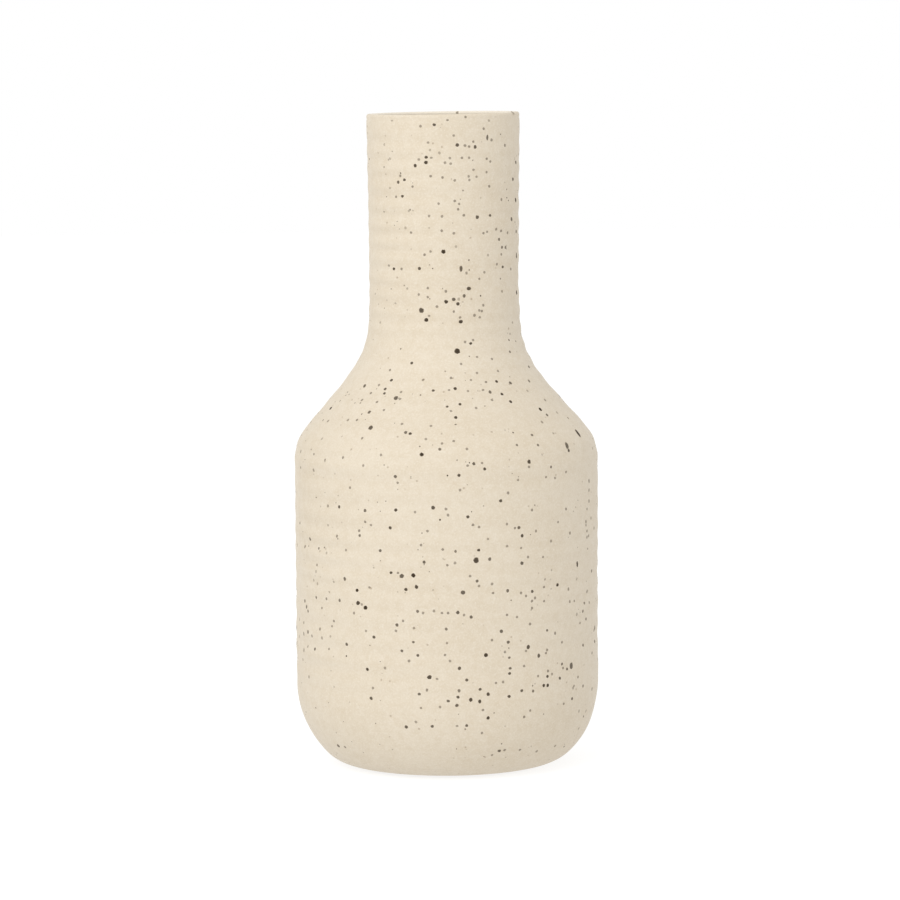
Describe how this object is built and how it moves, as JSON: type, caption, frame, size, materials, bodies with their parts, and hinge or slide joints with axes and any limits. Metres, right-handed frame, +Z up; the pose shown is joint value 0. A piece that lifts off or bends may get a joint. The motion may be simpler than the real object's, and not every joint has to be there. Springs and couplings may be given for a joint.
{
  "type": "bottle vase",
  "caption": "Tall speckled stoneware bottle vase with a straight-sided round body, a sloping shoulder and a long open neck, glazed inside, on a foot ring with felt pads.",
  "frame": {"origin": "middle of the underside, on the surface that the vase stands on", "axes": "+Z up along the axis that the vase is turned about; the vase is round, and one of its foot pads lies on +Y"},
  "size_m": [0.1398, 0.1398, 0.301],
  "materials": {
    "stoneware": "matt, unglazed to the touch, with iron specks",
    "clear_glaze": "satin liner glaze",
    "felt": "pressed wool felt"
  },
  "bodies": {
    "root": {"stoneware_body": "stoneware", "lining_glaze": "clear_glaze", "foot_pads": "felt"}
  },
  "joints": []
}
